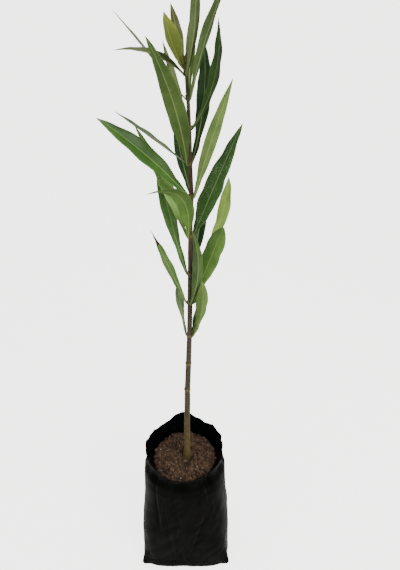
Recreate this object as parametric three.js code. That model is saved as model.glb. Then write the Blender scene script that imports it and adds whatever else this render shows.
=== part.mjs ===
// A young oleander grown as a single whip in a black film nursery bag.
// Millimetres, +Z up, origin at the middle of the bag's flat underside.
import * as THREE from "three";

// Bag and soil
const FILM = 1.5;
const CLEARANCE = 0.7;
const SOIL_LEVEL = 202;
const SOIL_MOUND = 3;
const BAG_SIDES = 40;
const BAG_HEIGHTS = [12, 30, 55, 80, 108, 135, 158, 178, 190];
const FOOT_CHAMFER = 6;
const RIM_FOLD = 6;
const SOIL_CRUMBS = 0.9;
const RIM_FRONT = 7;
const RIM_SIDE = 22;
const RIM_BACK = 37;
const RIM_WAVE = 3;
// height, half width across, half width front to back, corner (2 round, 5 nearly square)
const BAG_PROFILE = [
  [0, 69, 55, 5],
  [6, 72.5, 58, 5],
  [30, 72.5, 58.5, 4.5],
  [80, 68, 58, 3.4],
  [135, 63.5, 57, 2.7],
  [175, 62.5, 55.5, 2.3],
  [190, 61, 54, 2.1],
  [202, 55.5, 50, 2],
  [212, 57, 52.5, 2],
  [224, 60, 56, 2],
  [240, 60.5, 56.5, 2],
];

// Stem: height, centre to the right, centre to the back, diameter
const STEM = [
  [202, 4.0, 0, 10.2],
  [260, 4.6, -0.6, 9.0],
  [339, 6.2, -0.9, 7.8],
  [384, 8.4, -0.6, 7.2],
  [429, 10.1, 0, 6.6],
  [478, 11.3, 0.5, 6.0],
  [517, 11.8, 0.4, 5.4],
  [565, 12.6, 0, 4.9],
  [611, 14.6, -0.4, 4.4],
  [645, 13.6, -0.2, 4.1],
  [680, 13.2, 0.2, 3.8],
  [707, 12.0, 0.2, 3.5],
  [728, 10.6, 0, 3.1],
  [738, 10.2, 0, 2.2],
];
const STEM_SIDES = 12;
const ROOT_FLARE = 1.6;
const FLARE_REACH = 14;
const NODE_SWELL = 0.2;
const NODE_REACH = 2.5;

// Heights of the rings the leaves grow from, bottom to top; the two lowest are bare
const BARE_RINGS = [339, 384];
const YOUNG_WHORLS = ["j"];
const WHORL = { a: 429, b: 478, c: 517, d: 565, e: 611, f: 645, g: 680, h: 707, i: 728, j: 733 };

// name, bearing (0 right, 90 back), rise above level, length, width,
// bow upward, sway to the leaf's left, roll at the foot, roll at the tip, fold, broadest point
const LEAVES = [
  ["leaf_a_left", 150, 80, 70, 9, 0, 0, -35, -35, 20, 0.7],
  ["leaf_a_front", -30, 81, 84, 14, -6, 0, -35, -35, 25, 0.62],
  ["leaf_a_back", 50, 62, 45, 12, 0, 0, 0, 0, 15, 0.5],
  ["leaf_b_left", 180, 68, 101, 11, 0, 0, -40, -40, 15, 0.48],
  ["leaf_b_front", -80, 80, 103, 14, 0, 8, 0, 0, 25, 0.42],
  ["leaf_b_right", -5, 71, 104, 23, 1, 0, 70, 60, 12, 0.6],
  ["leaf_c_left", 152, 75, 131, 16, -2, 1, -50, -50, 15, 0.6],
  ["leaf_c_right", 45, 60, 118, 15, -9, -5, 15, 15, 12, 0.66],
  ["leaf_c_back", 72, 55, 100, 15, 0, 0, 15, 15, 12, 0.5],
  ["leaf_d_front", -123, 44, 94, 17, 23, 5, 54, 34, 15, 0.33],
  ["leaf_d_left", 165, 65, 127, 16, 3, 0, -35, -30, 12, 0.45],
  ["leaf_d_right", 20, 65, 128, 25, 1, 0, 30, 30, 12, 0.36],
  ["leaf_e_left", -168, 43, 118, 23, 4, 0, -45, -45, 12, 0.5],
  ["leaf_e_right", -45, 67, 125, 13, 0, -2, -35, -35, 12, 0.48],
  ["leaf_e_back", 106, 40, 93, 14, 0, 0, 0, 0, 12, 0.5],
  ["leaf_f_front", -150, 71, 119, 20, 6, 0, 50, 50, 12, 0.4],
  ["leaf_f_left", 172, 34, 88, 14, 0, 0, 0, 0, 20, 0.5],
  ["leaf_f_right", 68, 73, 114, 16, 0, -6, 0, 0, 12, 0.55],
  ["leaf_g_right", 20, 75, 96, 17, -10, 0, 20, 10, 12, 0.5],
  ["leaf_g_left", 132, 65, 83, 10, 0, 0, 0, 0, 12, 0.5],
  ["leaf_h_left", 171, 48, 97, 10, 0, 0, 0, 0, 20, 0.45],
  ["leaf_h_right", -45, 64, 104, 13, 2, -2, 0, 0, 20, 0.5],
  ["leaf_h_back", 84, 64, 84, 10, 0, 0, 0, 0, 15, 0.5],
  ["leaf_i_left", -169, 17, 64, 13, 7, 0, -35, -20, 20, 0.34],
  ["leaf_i_front", -80, 60, 92, 10, 0, 4, 0, 0, 28, 0.5],
  ["leaf_j_left", -172, 70, 46, 25, -2, 0, -35, -45, 20, 0.45],
  ["leaf_j_back", 122, 66, 57, 11, 0, 0, 0, 0, 20, 0.5],
];
const LEAF_STATIONS = 13;
const MIDRIB_STEP = 0.01;
const MIDRIB_DEPTH = 1.0;
const EDGE_DEPTH = 0.5;
const PETIOLE_WIDTH = 2;
const PETIOLE_END = 0.06;
const STEM_TO_LEAF = 1.9;
const TIP_WIDTH = 0.8;

const COLOURS = {
  bag: 0x17181a,
  soil: 0x5b4436,
  stem: 0x5a4a38,
  leaf: 0x44702f,
  young_leaf: 0x8c9a3c,
};

const radians = THREE.MathUtils.degToRad;
const lerp = THREE.MathUtils.lerp;

// Reads a table of rows whose first column rises, and blends between two rows.
function blend(table, at) {
  const last = table.length - 1;
  if (at <= table[0][0]) return table[0];
  if (at >= table[last][0]) return table[last];
  const next = table.findIndex((row) => row[0] > at);
  const low = table[next - 1];
  const high = table[next];
  const share = (at - low[0]) / (high[0] - low[0]);
  return low.map((value, column) => lerp(value, high[column], share));
}

// One skin through a list of closed rings, shut at both ends by a fan of triangles.
function ringSkin(rings) {
  const sides = rings[0].length;
  const points = rings.flat();
  const faces = [];
  for (let ring = 0; ring + 1 < rings.length; ring += 1) {
    for (let side = 0; side < sides; side += 1) {
      const next = (side + 1) % sides;
      const low = ring * sides;
      const high = low + sides;
      faces.push(low + side, low + next, high + next);
      faces.push(low + side, high + next, high + side);
    }
  }
  const start = points.length;
  points.push(middle(rings[0]));
  points.push(middle(rings[rings.length - 1]));
  const top = (rings.length - 1) * sides;
  for (let side = 0; side < sides; side += 1) {
    const next = (side + 1) % sides;
    faces.push(start, next, side);
    faces.push(start + 1, top + side, top + next);
  }
  const geometry = new THREE.BufferGeometry();
  const positions = points.flatMap((point) => point.toArray());
  geometry.setAttribute("position", new THREE.Float32BufferAttribute(positions, 3));
  geometry.setIndex(faces);
  geometry.computeVertexNormals();
  return geometry;
}

function middle(ring) {
  const sum = new THREE.Vector3();
  ring.forEach((point) => sum.add(point));
  return sum.divideScalar(ring.length);
}

function part(name, geometry, colour, roughness) {
  const material = new THREE.MeshStandardMaterial({ color: colour, roughness, metalness: 0 });
  const mesh = new THREE.Mesh(geometry, material);
  mesh.name = name;
  return mesh;
}

// The film's outer radius: an oval that squares up towards the foot, set in by inset.
function bagRadius(angle, height, inset) {
  const [, across, deep, power] = blend(BAG_PROFILE, height);
  const x = Math.abs(Math.cos(angle) / (across - inset)) ** power;
  const y = Math.abs(Math.sin(angle) / (deep - inset)) ** power;
  return (x + y) ** (-1 / power);
}

function bagRing(height, inset) {
  const ring = [];
  for (let side = 0; side < BAG_SIDES; side += 1) {
    const angle = (2 * Math.PI * side) / BAG_SIDES;
    const radius = bagRadius(angle, height, inset);
    ring.push(new THREE.Vector3(radius * Math.cos(angle), radius * Math.sin(angle), height));
  }
  return ring;
}

// The loose rim peaks sharply at the back and dips to the soil at the front.
function rimHeight(angle) {
  const back = Math.sin(angle);
  const wave = RIM_WAVE * Math.cos(5 * angle - 1.4) * (1 - Math.abs(back));
  const peak = back > 0 ? (RIM_BACK - RIM_SIDE) * back ** 16 : (RIM_FRONT - RIM_SIDE) * (-back) ** 1.5;
  return SOIL_LEVEL + RIM_SIDE + peak + wave;
}

function rimRing(share, inset) {
  const ring = [];
  for (let side = 0; side < BAG_SIDES; side += 1) {
    const angle = (2 * Math.PI * side) / BAG_SIDES;
    const foot = SOIL_LEVEL - RIM_FOLD;
    const height = lerp(foot, rimHeight(angle), share);
    const radius = bagRadius(angle, height, inset);
    ring.push(new THREE.Vector3(radius * Math.cos(angle), radius * Math.sin(angle), height));
  }
  return ring;
}

function bag() {
  const rim = [0, 0.35, 0.7, 1];
  const rings = [bagRing(0, 0), bagRing(4, 0)];
  BAG_HEIGHTS.forEach((height) => rings.push(bagRing(height, 0)));
  rim.forEach((share) => rings.push(rimRing(share, 0)));
  rim.reverse().forEach((share) => rings.push(rimRing(share, FILM)));
  BAG_HEIGHTS.toReversed().forEach((height) => rings.push(bagRing(height, FILM)));
  rings.push(bagRing(FILM, FILM + FOOT_CHAMFER));
  return part("bag", ringSkin(rings), COLOURS.bag, 0.45);
}

// The soil fills the film and heaps a little towards the stem.
function soil() {
  const inset = FILM + CLEARANCE;
  const rings = [bagRing(inset, inset + FOOT_CHAMFER)];
  BAG_HEIGHTS.forEach((height) => rings.push(bagRing(height, inset)));
  rings.push(rimRing(0, inset));
  [0.93, 0.75, 0.5, 0.25].forEach((share) => rings.push(soilRing(share)));
  return part("soil", ringSkin(rings), COLOURS.soil, 0.95);
}

function soilRing(share) {
  const ring = [];
  for (let side = 0; side < BAG_SIDES; side += 1) {
    const angle = (2 * Math.PI * side) / BAG_SIDES;
    const radius = share * bagRadius(angle, SOIL_LEVEL, FILM + 2);
    const crumbs = SOIL_CRUMBS * Math.sin(7 * angle + 9 * share) * share;
    const height = SOIL_LEVEL + SOIL_MOUND * (0.6 - share ** 2) + crumbs;
    ring.push(new THREE.Vector3(radius * Math.cos(angle), radius * Math.sin(angle), height));
  }
  return ring;
}

// Stem centre and radius at a height, with the swelling at each ring of leaves.
function stemAt(height) {
  const [, x, y, width] = blend(STEM, height);
  return { centre: new THREE.Vector3(x, y, height), radius: width / 2 };
}

function stem() {
  const foot = SOIL_LEVEL + SOIL_MOUND * 0.6 + CLEARANCE;
  const nodes = [...BARE_RINGS, ...Object.values(WHORL)];
  const top = STEM[STEM.length - 1][0];
  const heights = [foot, foot + 4, foot + 9, foot + FLARE_REACH, 235, 260, 300, top];
  nodes.forEach((node) => heights.push(node - NODE_REACH, node, node + NODE_REACH));
  heights.sort((a, b) => a - b);
  const rings = heights.map((height) => {
    const { centre, radius } = stemAt(height);
    const flare = ROOT_FLARE * Math.max(0, 1 - (height - foot) / FLARE_REACH) ** 2;
    const swell = nodes.includes(height) ? NODE_SWELL * radius : 0;
    const ring = [];
    for (let side = 0; side < STEM_SIDES; side += 1) {
      const angle = (2 * Math.PI * side) / STEM_SIDES;
      const reach = radius + flare + swell;
      ring.push(new THREE.Vector3(reach * Math.cos(angle), reach * Math.sin(angle), 0).add(centre));
    }
    return ring;
  });
  return part("stem", ringSkin(rings), COLOURS.stem, 0.7);
}

// A thin blade along a bowed midrib: six points to a ring, edges lifted by the fold.
function leaf(row) {
  const [name, bearing, rise, length, width, bow, sway, rollFoot, rollTip, fold, broadest] = row;
  const whorl = name.split("_")[1];
  const { centre, radius } = stemAt(WHORL[whorl]);
  const turn = radians(bearing);
  const lift = radians(rise);
  const out = new THREE.Vector3(Math.cos(turn), Math.sin(turn), 0);
  const along = out.clone().multiplyScalar(Math.cos(lift)).setZ(Math.sin(lift));
  const side = new THREE.Vector3(-Math.sin(turn), Math.cos(turn), 0);
  const up = along.clone().cross(side);
  const foot = centre.clone().addScaledVector(out, radius + STEM_TO_LEAF);
  const power = Math.log(0.5) / Math.log(broadest);
  const midrib = (u) => {
    const arch = 4 * u * (1 - u);
    const point = foot.clone().addScaledVector(along, length * u);
    return point.addScaledVector(up, bow * arch).addScaledVector(side, sway * arch);
  };
  const rings = [];
  for (let station = 0; station < LEAF_STATIONS; station += 1) {
    const u = station / (LEAF_STATIONS - 1);
    const point = midrib(u);
    const ahead = midrib(u + MIDRIB_STEP).sub(midrib(u - MIDRIB_STEP)).normalize();
    const flat = side.clone().addScaledVector(ahead, -side.dot(ahead)).normalize();
    const normal = ahead.clone().cross(flat);
    const roll = radians(lerp(rollFoot, rollTip, u));
    const wing = flat.clone().applyAxisAngle(ahead, roll);
    const face = normal.clone().applyAxisAngle(ahead, roll);
    rings.push(bladeRing(point, wing, face, bladeWidth(u, width, power), radians(fold)));
  }
  const colour = YOUNG_WHORLS.includes(whorl) ? COLOURS.young_leaf : COLOURS.leaf;
  return part(name, ringSkin(rings), colour, 0.45);
}

// Half the blade's width: a stalk, then a long oval that draws out to the tip.
function bladeWidth(u, width, power) {
  const blade = Math.max(0, (u - PETIOLE_END) / (1 - PETIOLE_END));
  const oval = (width / 2) * Math.sin(Math.PI * blade ** power) ** 0.9;
  const least = u < 0.3 ? PETIOLE_WIDTH / 2 : TIP_WIDTH / 2;
  return Math.max(oval, least);
}

function bladeRing(point, wing, face, half, fold) {
  const rise = half * Math.sin(fold);
  const reach = half * Math.cos(fold);
  const at = (across, high) => point.clone().addScaledVector(wing, across).addScaledVector(face, high);
  return [
    at(reach, rise + EDGE_DEPTH / 2),
    at(0, MIDRIB_DEPTH / 2),
    at(-reach, rise + EDGE_DEPTH / 2),
    at(-reach, rise - EDGE_DEPTH / 2),
    at(0, -MIDRIB_DEPTH / 2),
    at(reach, rise - EDGE_DEPTH / 2),
  ];
}

const oleander = new THREE.Group();
oleander.name = "potted_oleander";
oleander.add(bag(), soil(), stem());
LEAVES.forEach((row) => oleander.add(leaf(row)));

export default oleander;
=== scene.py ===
# %% [markdown]
# # A young oleander in a nursery bag
# The real plant is one whip of a stem with long leaves in rings of three, standing in coir
# in a black film bag. Each leaf, the stem, the soil and the bag are solids in the shared
# frame, and every one of them is replaced here by a surface with the detail of the real thing.

# %% Load the frame
import bpy
import numpy as np
from math import radians
from typing import NamedTuple
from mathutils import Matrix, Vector


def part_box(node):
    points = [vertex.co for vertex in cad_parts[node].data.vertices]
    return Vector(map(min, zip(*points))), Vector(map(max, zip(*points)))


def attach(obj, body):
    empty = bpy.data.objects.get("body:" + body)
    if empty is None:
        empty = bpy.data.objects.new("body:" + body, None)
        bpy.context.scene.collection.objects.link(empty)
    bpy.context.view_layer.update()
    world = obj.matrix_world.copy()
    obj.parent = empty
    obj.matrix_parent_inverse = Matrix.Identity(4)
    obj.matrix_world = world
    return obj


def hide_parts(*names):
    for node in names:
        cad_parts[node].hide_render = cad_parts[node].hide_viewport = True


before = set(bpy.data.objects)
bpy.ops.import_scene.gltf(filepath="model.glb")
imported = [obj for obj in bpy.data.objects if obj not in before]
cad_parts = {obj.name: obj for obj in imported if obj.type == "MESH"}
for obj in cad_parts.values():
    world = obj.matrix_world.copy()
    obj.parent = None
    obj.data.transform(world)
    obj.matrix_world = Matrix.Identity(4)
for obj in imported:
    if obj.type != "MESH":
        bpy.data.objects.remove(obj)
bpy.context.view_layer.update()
MM = 0.001

# %% [markdown]
# ## Surfaces from grids, finishes from nodes
# Every new piece is a sheet of points worked out with numpy: rows along the piece, columns
# round or across it. One helper turns such a sheet into a mesh, joins the last column to the
# first where the piece is a tube, and shuts the two ends with a fan of triangles. Every
# finish is a tree of shader nodes, which a second helper lets a line or two describe.


# %% Grid meshes
def unit(vectors):
    """Each vector divided by its own length."""
    return vectors / np.maximum(np.linalg.norm(vectors, axis=-1, keepdims=True), 1e-12)


def circle(columns):
    """Even angles all the way round, without the first one again."""
    return np.linspace(0, 2 * np.pi, columns, endpoint=False)


def wrapped(angle):
    """The same angle, brought between minus half a turn and plus half a turn."""
    return np.angle(np.exp(1j * angle))


def around(angle, radius, height):
    """Points at a distance from the upright axis: (radius cos, radius sin, height)."""
    points = np.broadcast_arrays(np.cos(angle) * radius, np.sin(angle) * radius, height)
    return np.stack(points, -1)


def tube_faces(rows, columns):
    """Quads between neighbouring rows, round all columns, as corner numbers."""
    row, column = np.meshgrid(np.arange(rows - 1), np.arange(columns), indexing="ij")
    after = (column + 1) % columns
    low, high = row * columns, (row + 1) * columns
    return np.stack([low + column, low + after, high + after, high + column], -1).reshape(-1, 4)


def end_fans(rows, columns):
    """Triangles that shut a tube, to the two middle points that follow its own points."""
    side = np.arange(columns)
    after = (side + 1) % columns
    first, top = rows * columns, (rows - 1) * columns
    foot_fan = np.stack([np.full(columns, first), after, side], -1)
    tip_fan = np.stack([np.full(columns, first + 1), top + side, top + after], -1)
    return np.concatenate([foot_fan, tip_fan])


def halved(quads):
    """Each quad as two triangles."""
    return np.concatenate([quads[:, [0, 1, 2]], quads[:, [0, 2, 3]]])


def new_piece(name, points, faces, materials, smooth=True):
    """An object at the origin, from points and lists of corner numbers."""
    mesh = bpy.data.meshes.new(name)
    mesh.from_pydata(points.reshape(-1, 3).tolist(), [], faces)
    for material in materials:
        mesh.materials.append(material)
    mesh.polygons.foreach_set("use_smooth", np.full(len(mesh.polygons), smooth))
    piece = bpy.data.objects.new(name, mesh)
    bpy.context.collection.objects.link(piece)
    return piece


def tube_piece(name, points, materials, slots=None):
    """A closed tube: points[row, column], a middle point at each end, and fans to them."""
    rows, columns = points.shape[:2]
    vertices = np.concatenate([points.reshape(-1, 3), points[[0, -1]].mean(1)])
    faces = tube_faces(rows, columns).tolist() + end_fans(rows, columns).tolist()
    piece = new_piece(name, vertices, faces, materials)
    if slots is not None:
        numbers = np.concatenate([np.tile(slots, rows - 1), slots, slots]).astype(np.int32)
        piece.data.polygons.foreach_set("material_index", numbers)
    return piece


def copies_piece(name, points, triangles, material, smooth=False):
    """One mesh from many copies, points[copy, vertex]; each copy has its triangles shifted."""
    copies, size = points.shape[:2]
    shifted = triangles[None] + np.arange(copies)[:, None, None] * size
    return new_piece(name, points, shifted.reshape(-1, 3).tolist(), [material], smooth)


def with_ends(grid, ends=None):
    """A tube's values in the order of its points; the ends get their row's mean, or ends."""
    return np.concatenate([grid.ravel(), grid[[0, -1]].mean(1) if ends is None else ends])


def paint(piece, name, values):
    """Stores one number or colour for each vertex under a name that a material reads."""
    kind, field = ("FLOAT", "value") if values.ndim == 1 else ("FLOAT_COLOR", "color")
    layer = piece.data.attributes.new(name, kind, "POINT")
    layer.data.foreach_set(field, values.astype(np.float32).ravel())


def bell(off, width):
    """A bell curve: exp(-(off / width)^2), which is 1 in the middle."""
    return np.exp(-(off / width) ** 2)


def smooth_noise(at, seed, waves=7, size=1.0):
    """A sum of sine waves in random directions; at[..., 3] in metres, about -1 to 1."""
    rng = np.random.default_rng(seed)
    turns = rng.normal(size=(waves, 3)) / size
    shifts = rng.uniform(0, 2 * np.pi, waves)
    return np.sin(at @ turns.T + shifts).sum(-1) / np.sqrt(waves)


print("grid helpers ready")

# %% Node helper
class Recipe:
    """Short names for adding shader nodes and joining them; place is in metres."""

    def __init__(self, name):
        self.material = bpy.data.materials.new(name)
        self.material.use_nodes = True
        self.tree = self.material.node_tree
        self.shader = self.tree.nodes["Principled BSDF"]
        self.place = self.add("TexCoord").outputs["Object"]

    def add(self, kind, settings=None, **inputs):
        """A new shader node; inputs are named after its sockets."""
        node = self.tree.nodes.new("ShaderNode" + kind)
        for key, value in (settings or {}).items():
            setattr(node, key, value)
        for key, value in inputs.items():
            self.feed(node.inputs[key.replace("_", " ")], value)
        return node

    def feed(self, socket, value):
        """Joins a socket to another one, or sets it to a plain value."""
        if isinstance(value, bpy.types.NodeSocket):
            self.tree.links.new(value, socket)
        else:
            socket.default_value = value

    def read(self, name):
        """The number stored on the mesh under this name."""
        return self.add("Attribute", {"attribute_name": name}).outputs["Fac"]

    def maths(self, operation, first, second=0.0):
        """One step of arithmetic."""
        node = self.add("Math", {"operation": operation})
        for socket, value in zip(node.inputs, (first, second)):
            self.feed(socket, value)
        return node.outputs[0]

    def times(self, first, second):
        """The product of two values."""
        return self.maths("MULTIPLY", first, second)

    def mix(self, share, first, second, blend="MIX"):
        """The first colour where the share is 0, the second where it is 1."""
        node = self.add("Mix", {"data_type": "RGBA", "blend_type": blend})
        for number, value in ((0, share), (6, first), (7, second)):
            self.feed(node.inputs[number], value)
        return node.outputs[2]

    def span(self, value, low, high, to_low=0.0, to_high=1.0):
        """A smooth step: to_low up to low, to_high from high on."""
        node = self.add("MapRange", {"interpolation_type": "SMOOTHSTEP"})
        for socket, number in zip(node.inputs, (value, low, high, to_low, to_high)):
            self.feed(socket, number)
        return node.outputs[0]

    def noise(self, scale, detail=3.0, roughness=0.55, at=None):
        """Cloudy values round 0.5, by the object's own coordinates unless told where."""
        return self.add("TexNoise", Vector=at or self.place, Scale=scale,
                        Detail=detail, Roughness=roughness).outputs[0]

    def squeezed(self, upright):
        """The object's coordinates with the height scaled, which draws a pattern out."""
        node = self.add("Mapping", Vector=self.place)
        node.inputs["Scale"].default_value = (1, 1, upright)
        return node.outputs[0]

    def coats(self, colour, *layers):
        """Each layer is a share and a colour, or its code, laid over what is there."""
        for share, layer in layers:
            colour = self.mix(share, colour, rgb(layer) if isinstance(layer, str) else layer)
        return colour

    def finish(self, colour, roughness, height, strength=0.3, distance=0.2 * MM, specular=0.2):
        """The material: colour, roughness and a fine bump of this height."""
        self.feed(self.shader.inputs["Base Color"], colour)
        self.feed(self.shader.inputs["Roughness"], roughness)
        self.shader.inputs["Specular IOR Level"].default_value = specular
        bump = self.add("Bump", Strength=strength, Distance=distance, Height=height)
        self.feed(self.shader.inputs["Normal"], bump.outputs[0])
        return self.material


def rgb(code):
    """A colour written as six hex digits, turned from screen values to linear light."""
    parts = np.array([int(code[i:i + 2], 16) for i in (0, 2, 4)]) / 255
    linear = np.where(parts <= 0.04045, parts / 12.92, ((parts + 0.055) / 1.055) ** 2.4)
    return (*linear.tolist(), 1.0)


print("finish helpers ready")

# %% [markdown]
# ## Camera, floor and light
# A person stands close to the plant and looks down on it, so the lens is wide and the camera
# is tilted well below level. A wide lens set close gives the bag its narrow foot and the top
# leaves their size; a long lens from far away would flatten both.

# %% Camera
EYE = (0.0235, -0.440, 0.746)
LOOK_DOWN = radians(29)
LENS_MM = 26.65

camera_data = bpy.data.cameras.new("camera")
camera_data.lens = LENS_MM
camera_data.sensor_width = 36  # the usual full frame
camera_data.clip_start = 0.01
camera = bpy.data.objects.new("camera", camera_data)
camera.location = EYE
camera.rotation_euler = (radians(90) - LOOK_DOWN, 0, 0)
bpy.context.collection.objects.link(camera)
bpy.context.scene.camera = camera
print("camera at", EYE)


# %% Light and backdrop
STAGE_RADIUS, STAGE_HEIGHT, STAGE_BEND = 2.4, 3.2, 1.1
BACKDROP_GLOW = 3.0
PLANT_MIDDLE = (0, 0, 0.45)


def soft_light(name, place, aim, size, watts, tint):
    """A square lamp: its local -Z axis is turned to point from place to aim."""
    data = bpy.data.lights.new(name, "AREA")
    data.size, data.energy, data.color = size, watts, tint
    lamp = bpy.data.objects.new(name, data)
    lamp.location = place
    lamp.rotation_euler = (Vector(aim) - Vector(place)).to_track_quat("-Z", "Y").to_euler()
    bpy.context.collection.objects.link(lamp)


def bowl():
    """A flat floor whose edge sweeps up as a quarter circle, then straight: no horizon line."""
    turn = np.linspace(0, np.pi / 2, 16)
    radius = np.r_[0.001, 0.6, STAGE_RADIUS - STAGE_BEND * (1 - np.sin(turn)), STAGE_RADIUS]
    height = np.r_[0, 0, STAGE_BEND * (1 - np.cos(turn)), STAGE_HEIGHT]
    points = around(circle(96), radius[:, None], height[:, None])
    sweep = Recipe("backdrop")
    seen = sweep.add("LightPath").outputs["Is Camera Ray"]
    for socket, value in (("Base Color", (0.80, 0.81, 0.79, 1)), ("Roughness", 0.95),
                          ("Emission Color", (0.97, 1.0, 0.97, 1)),
                          ("Emission Strength", sweep.times(seen, BACKDROP_GLOW))):
        sweep.feed(sweep.shader.inputs[socket], value)
    faces = tube_faces(*points.shape[:2]).tolist()
    return new_piece("backdrop", points, faces, [sweep.material])


soft_light("key_light", (0.95, -1.0, 1.75), PLANT_MIDDLE, 0.8, 34, (1.0, 0.98, 0.94))
soft_light("fill_light", (-1.2, -0.9, 1.3), PLANT_MIDDLE, 1.2, 8, (0.96, 0.98, 1.0))
soft_light("back_light", (-0.4, 1.3, 1.9), (0, 0, 0.4), 1.2, 12, (1.0, 1.0, 1.0))

world = bpy.data.worlds.new("studio")
world.use_nodes = True
sky = world.node_tree.nodes["Background"]
sky.inputs["Color"].default_value = (0.93, 0.95, 0.93, 1)
sky.inputs["Strength"].default_value = 0.55
bpy.context.scene.world = world
bowl()
print("three soft lamps and a pale sweep")

# %% [markdown]
# ## Reading a leaf's spine from its solid
# The frame's leaf is a thin blade made of rings of six points. Walking outward from the cap
# at its foot, one step along the edges at a time, gives the rings in order. From each ring
# come the middle of the blade, the direction across it and its half width.


# %% Rings of a blade
RING = 6
SAME_POINT = 0.002 * MM


def pulled(items, field, width=1, kind=np.int32):
    """One field of every item, read as a whole array."""
    values = np.empty(len(items) * width, dtype=kind)
    items.foreach_get(field, values)
    return values


def welded(node):
    """The node's points with doubles merged, and its edges as pairs of point numbers."""
    mesh = node.data
    points = pulled(mesh.vertices, "co", 3, np.float32).reshape(-1, 3)
    mesh.calc_loop_triangles()
    corners = pulled(mesh.loop_triangles, "vertices", 3)
    _, first, merged = np.unique(
        np.round(points / SAME_POINT), axis=0, return_index=True, return_inverse=True)
    triangles = merged.reshape(-1)[corners].reshape(-1, 3)
    edges = triangles[:, [[0, 1], [1, 2], [2, 0]]].reshape(-1, 2)
    edges = np.unique(np.sort(edges, axis=1), axis=0)
    return points[first].astype(float), edges


def rings_of(node, near):
    """Layers of points, counted in edges from the cap whose middle lies nearest to near."""
    points, edges = welded(node)
    count = len(points)
    joined = np.zeros((count, count), dtype=bool)
    joined[edges[:, 0], edges[:, 1]] = joined[edges[:, 1], edges[:, 0]] = True
    means = (joined @ points) / joined.sum(1, keepdims=True)
    off_plane = np.linalg.norm(points - means, axis=1)
    caps = np.argsort(off_plane)[:2]
    start = min(caps, key=lambda cap: np.linalg.norm(near - points[cap], axis=1).min())
    layer = np.arange(count) == start
    reached = np.zeros(count, dtype=bool)
    layers = []
    while layer.any():
        reached |= layer
        layers.append(points[layer])
        layer = joined[layer].any(0) & ~reached
    return [ring for ring in layers if len(ring) == RING]


def blade_frames(rings):
    """For each ring: its middle, the unit vector across, the half width, and the edge lift."""
    middles, across, halves, lifts = [], [], [], []
    for ring in rings[:-1]:
        gaps = np.linalg.norm(ring[:, None] - ring[None], axis=2)
        one = np.unravel_index(gaps.argmax(), gaps.shape)[0]
        pairs = ring[np.argsort(gaps[one])].reshape(3, 2, 3)
        near_edge, ribs, far_edge = pairs.mean(1)
        wing = far_edge - near_edge
        if across and wing @ across[-1] < 0:
            wing = -wing
        middles.append(ribs)
        halves.append(np.linalg.norm(wing) / 2)
        across.append(wing / np.linalg.norm(wing))
        lifts.append((near_edge + far_edge) / 2 - ribs)
    middles.append(rings[-1].mean(0))
    across.append(across[-1])
    halves.append(0.0)
    lifts.append(lifts[-1] * 0)
    return np.array(middles), np.array(across), np.array(halves), np.array(lifts)


stem_points = welded(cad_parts["stem"])[0]
LEAF_NODES = sorted(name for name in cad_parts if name.startswith("leaf_"))
print(len(LEAF_NODES), "leaves in the frame")


# %% Smooth curves through the ring middles
def through(values, at):
    """Catmull-Rom curve through rows of values, read at positions 0 to rows-1."""
    values = np.asarray(values, dtype=float)
    if values.ndim == 1:
        values = values[:, None]
    padded = np.concatenate([2 * values[:1] - values[1:2], values, 2 * values[-1:] - values[-2:-1]])
    low = np.clip(np.floor(at).astype(int), 0, len(values) - 2)
    t = (at - low)[:, None]
    a, b, c, d = (padded[low + step] for step in range(4))
    curve = 0.5 * (2 * b + (c - a) * t + (2 * a - 5 * b + 4 * c - d) * t**2
                   + (3 * b - a - 3 * c + d) * t**3)
    return curve.squeeze()


def stem_centre(height):
    """Middle and radius of the stem solid at a height, straight between its rings of points."""
    levels = np.round(stem_points[:, 2], 5)
    rings = [stem_points[levels == level] for level in np.unique(levels)]
    rings = [ring for ring in rings if len(ring) > 3]
    middles = np.array([(ring.max(0) + ring.min(0)) / 2 for ring in rings])
    radii = np.array([np.ptp(ring[:, 0]) / 2 for ring in rings])
    x, y, radius = (np.interp(height, np.round(middles[:, 2], 5), values)
                    for values in (middles[:, 0], middles[:, 1], radii))
    return np.stack([x, y, np.asarray(height, dtype=float)], -1), radius


print("stem radius above the soil", round(float(stem_centre(0.22)[1]) / MM, 1), "mm")

# %% [markdown]
# ## Leaf finishes
# An oleander leaf is leathery: dark and half glossy above, paler and duller below, with a
# pale straight midrib and very fine side veins that leave it almost at right angles. The
# colours differ from leaf to leaf with age, and each leaf's green also holds painted light
# and shade for the way that leaf is turned: leaves at the back are painted darker, and one
# half of a blade can be painted lighter than the other. So each blade carries its own green,
# with that painted light and shade, as an attribute, and one recipe of nodes makes it a
# little deeper or lighter from place to place and adds the rib. It reads the blade's own map,
# which is laid out in real lengths, so the veins keep their true spacing.


# %% Leaf skin recipe
MAP_SPAN = 0.2
UPPER_ROW, LOWER_ROW = 0.25, 0.75
VEIN_GAP = 1.1 * MM
VEIN_SLANT = 0.45
DRY_BROWN = "33261a"
RIB_PALE = rgb("aebf74")


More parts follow.
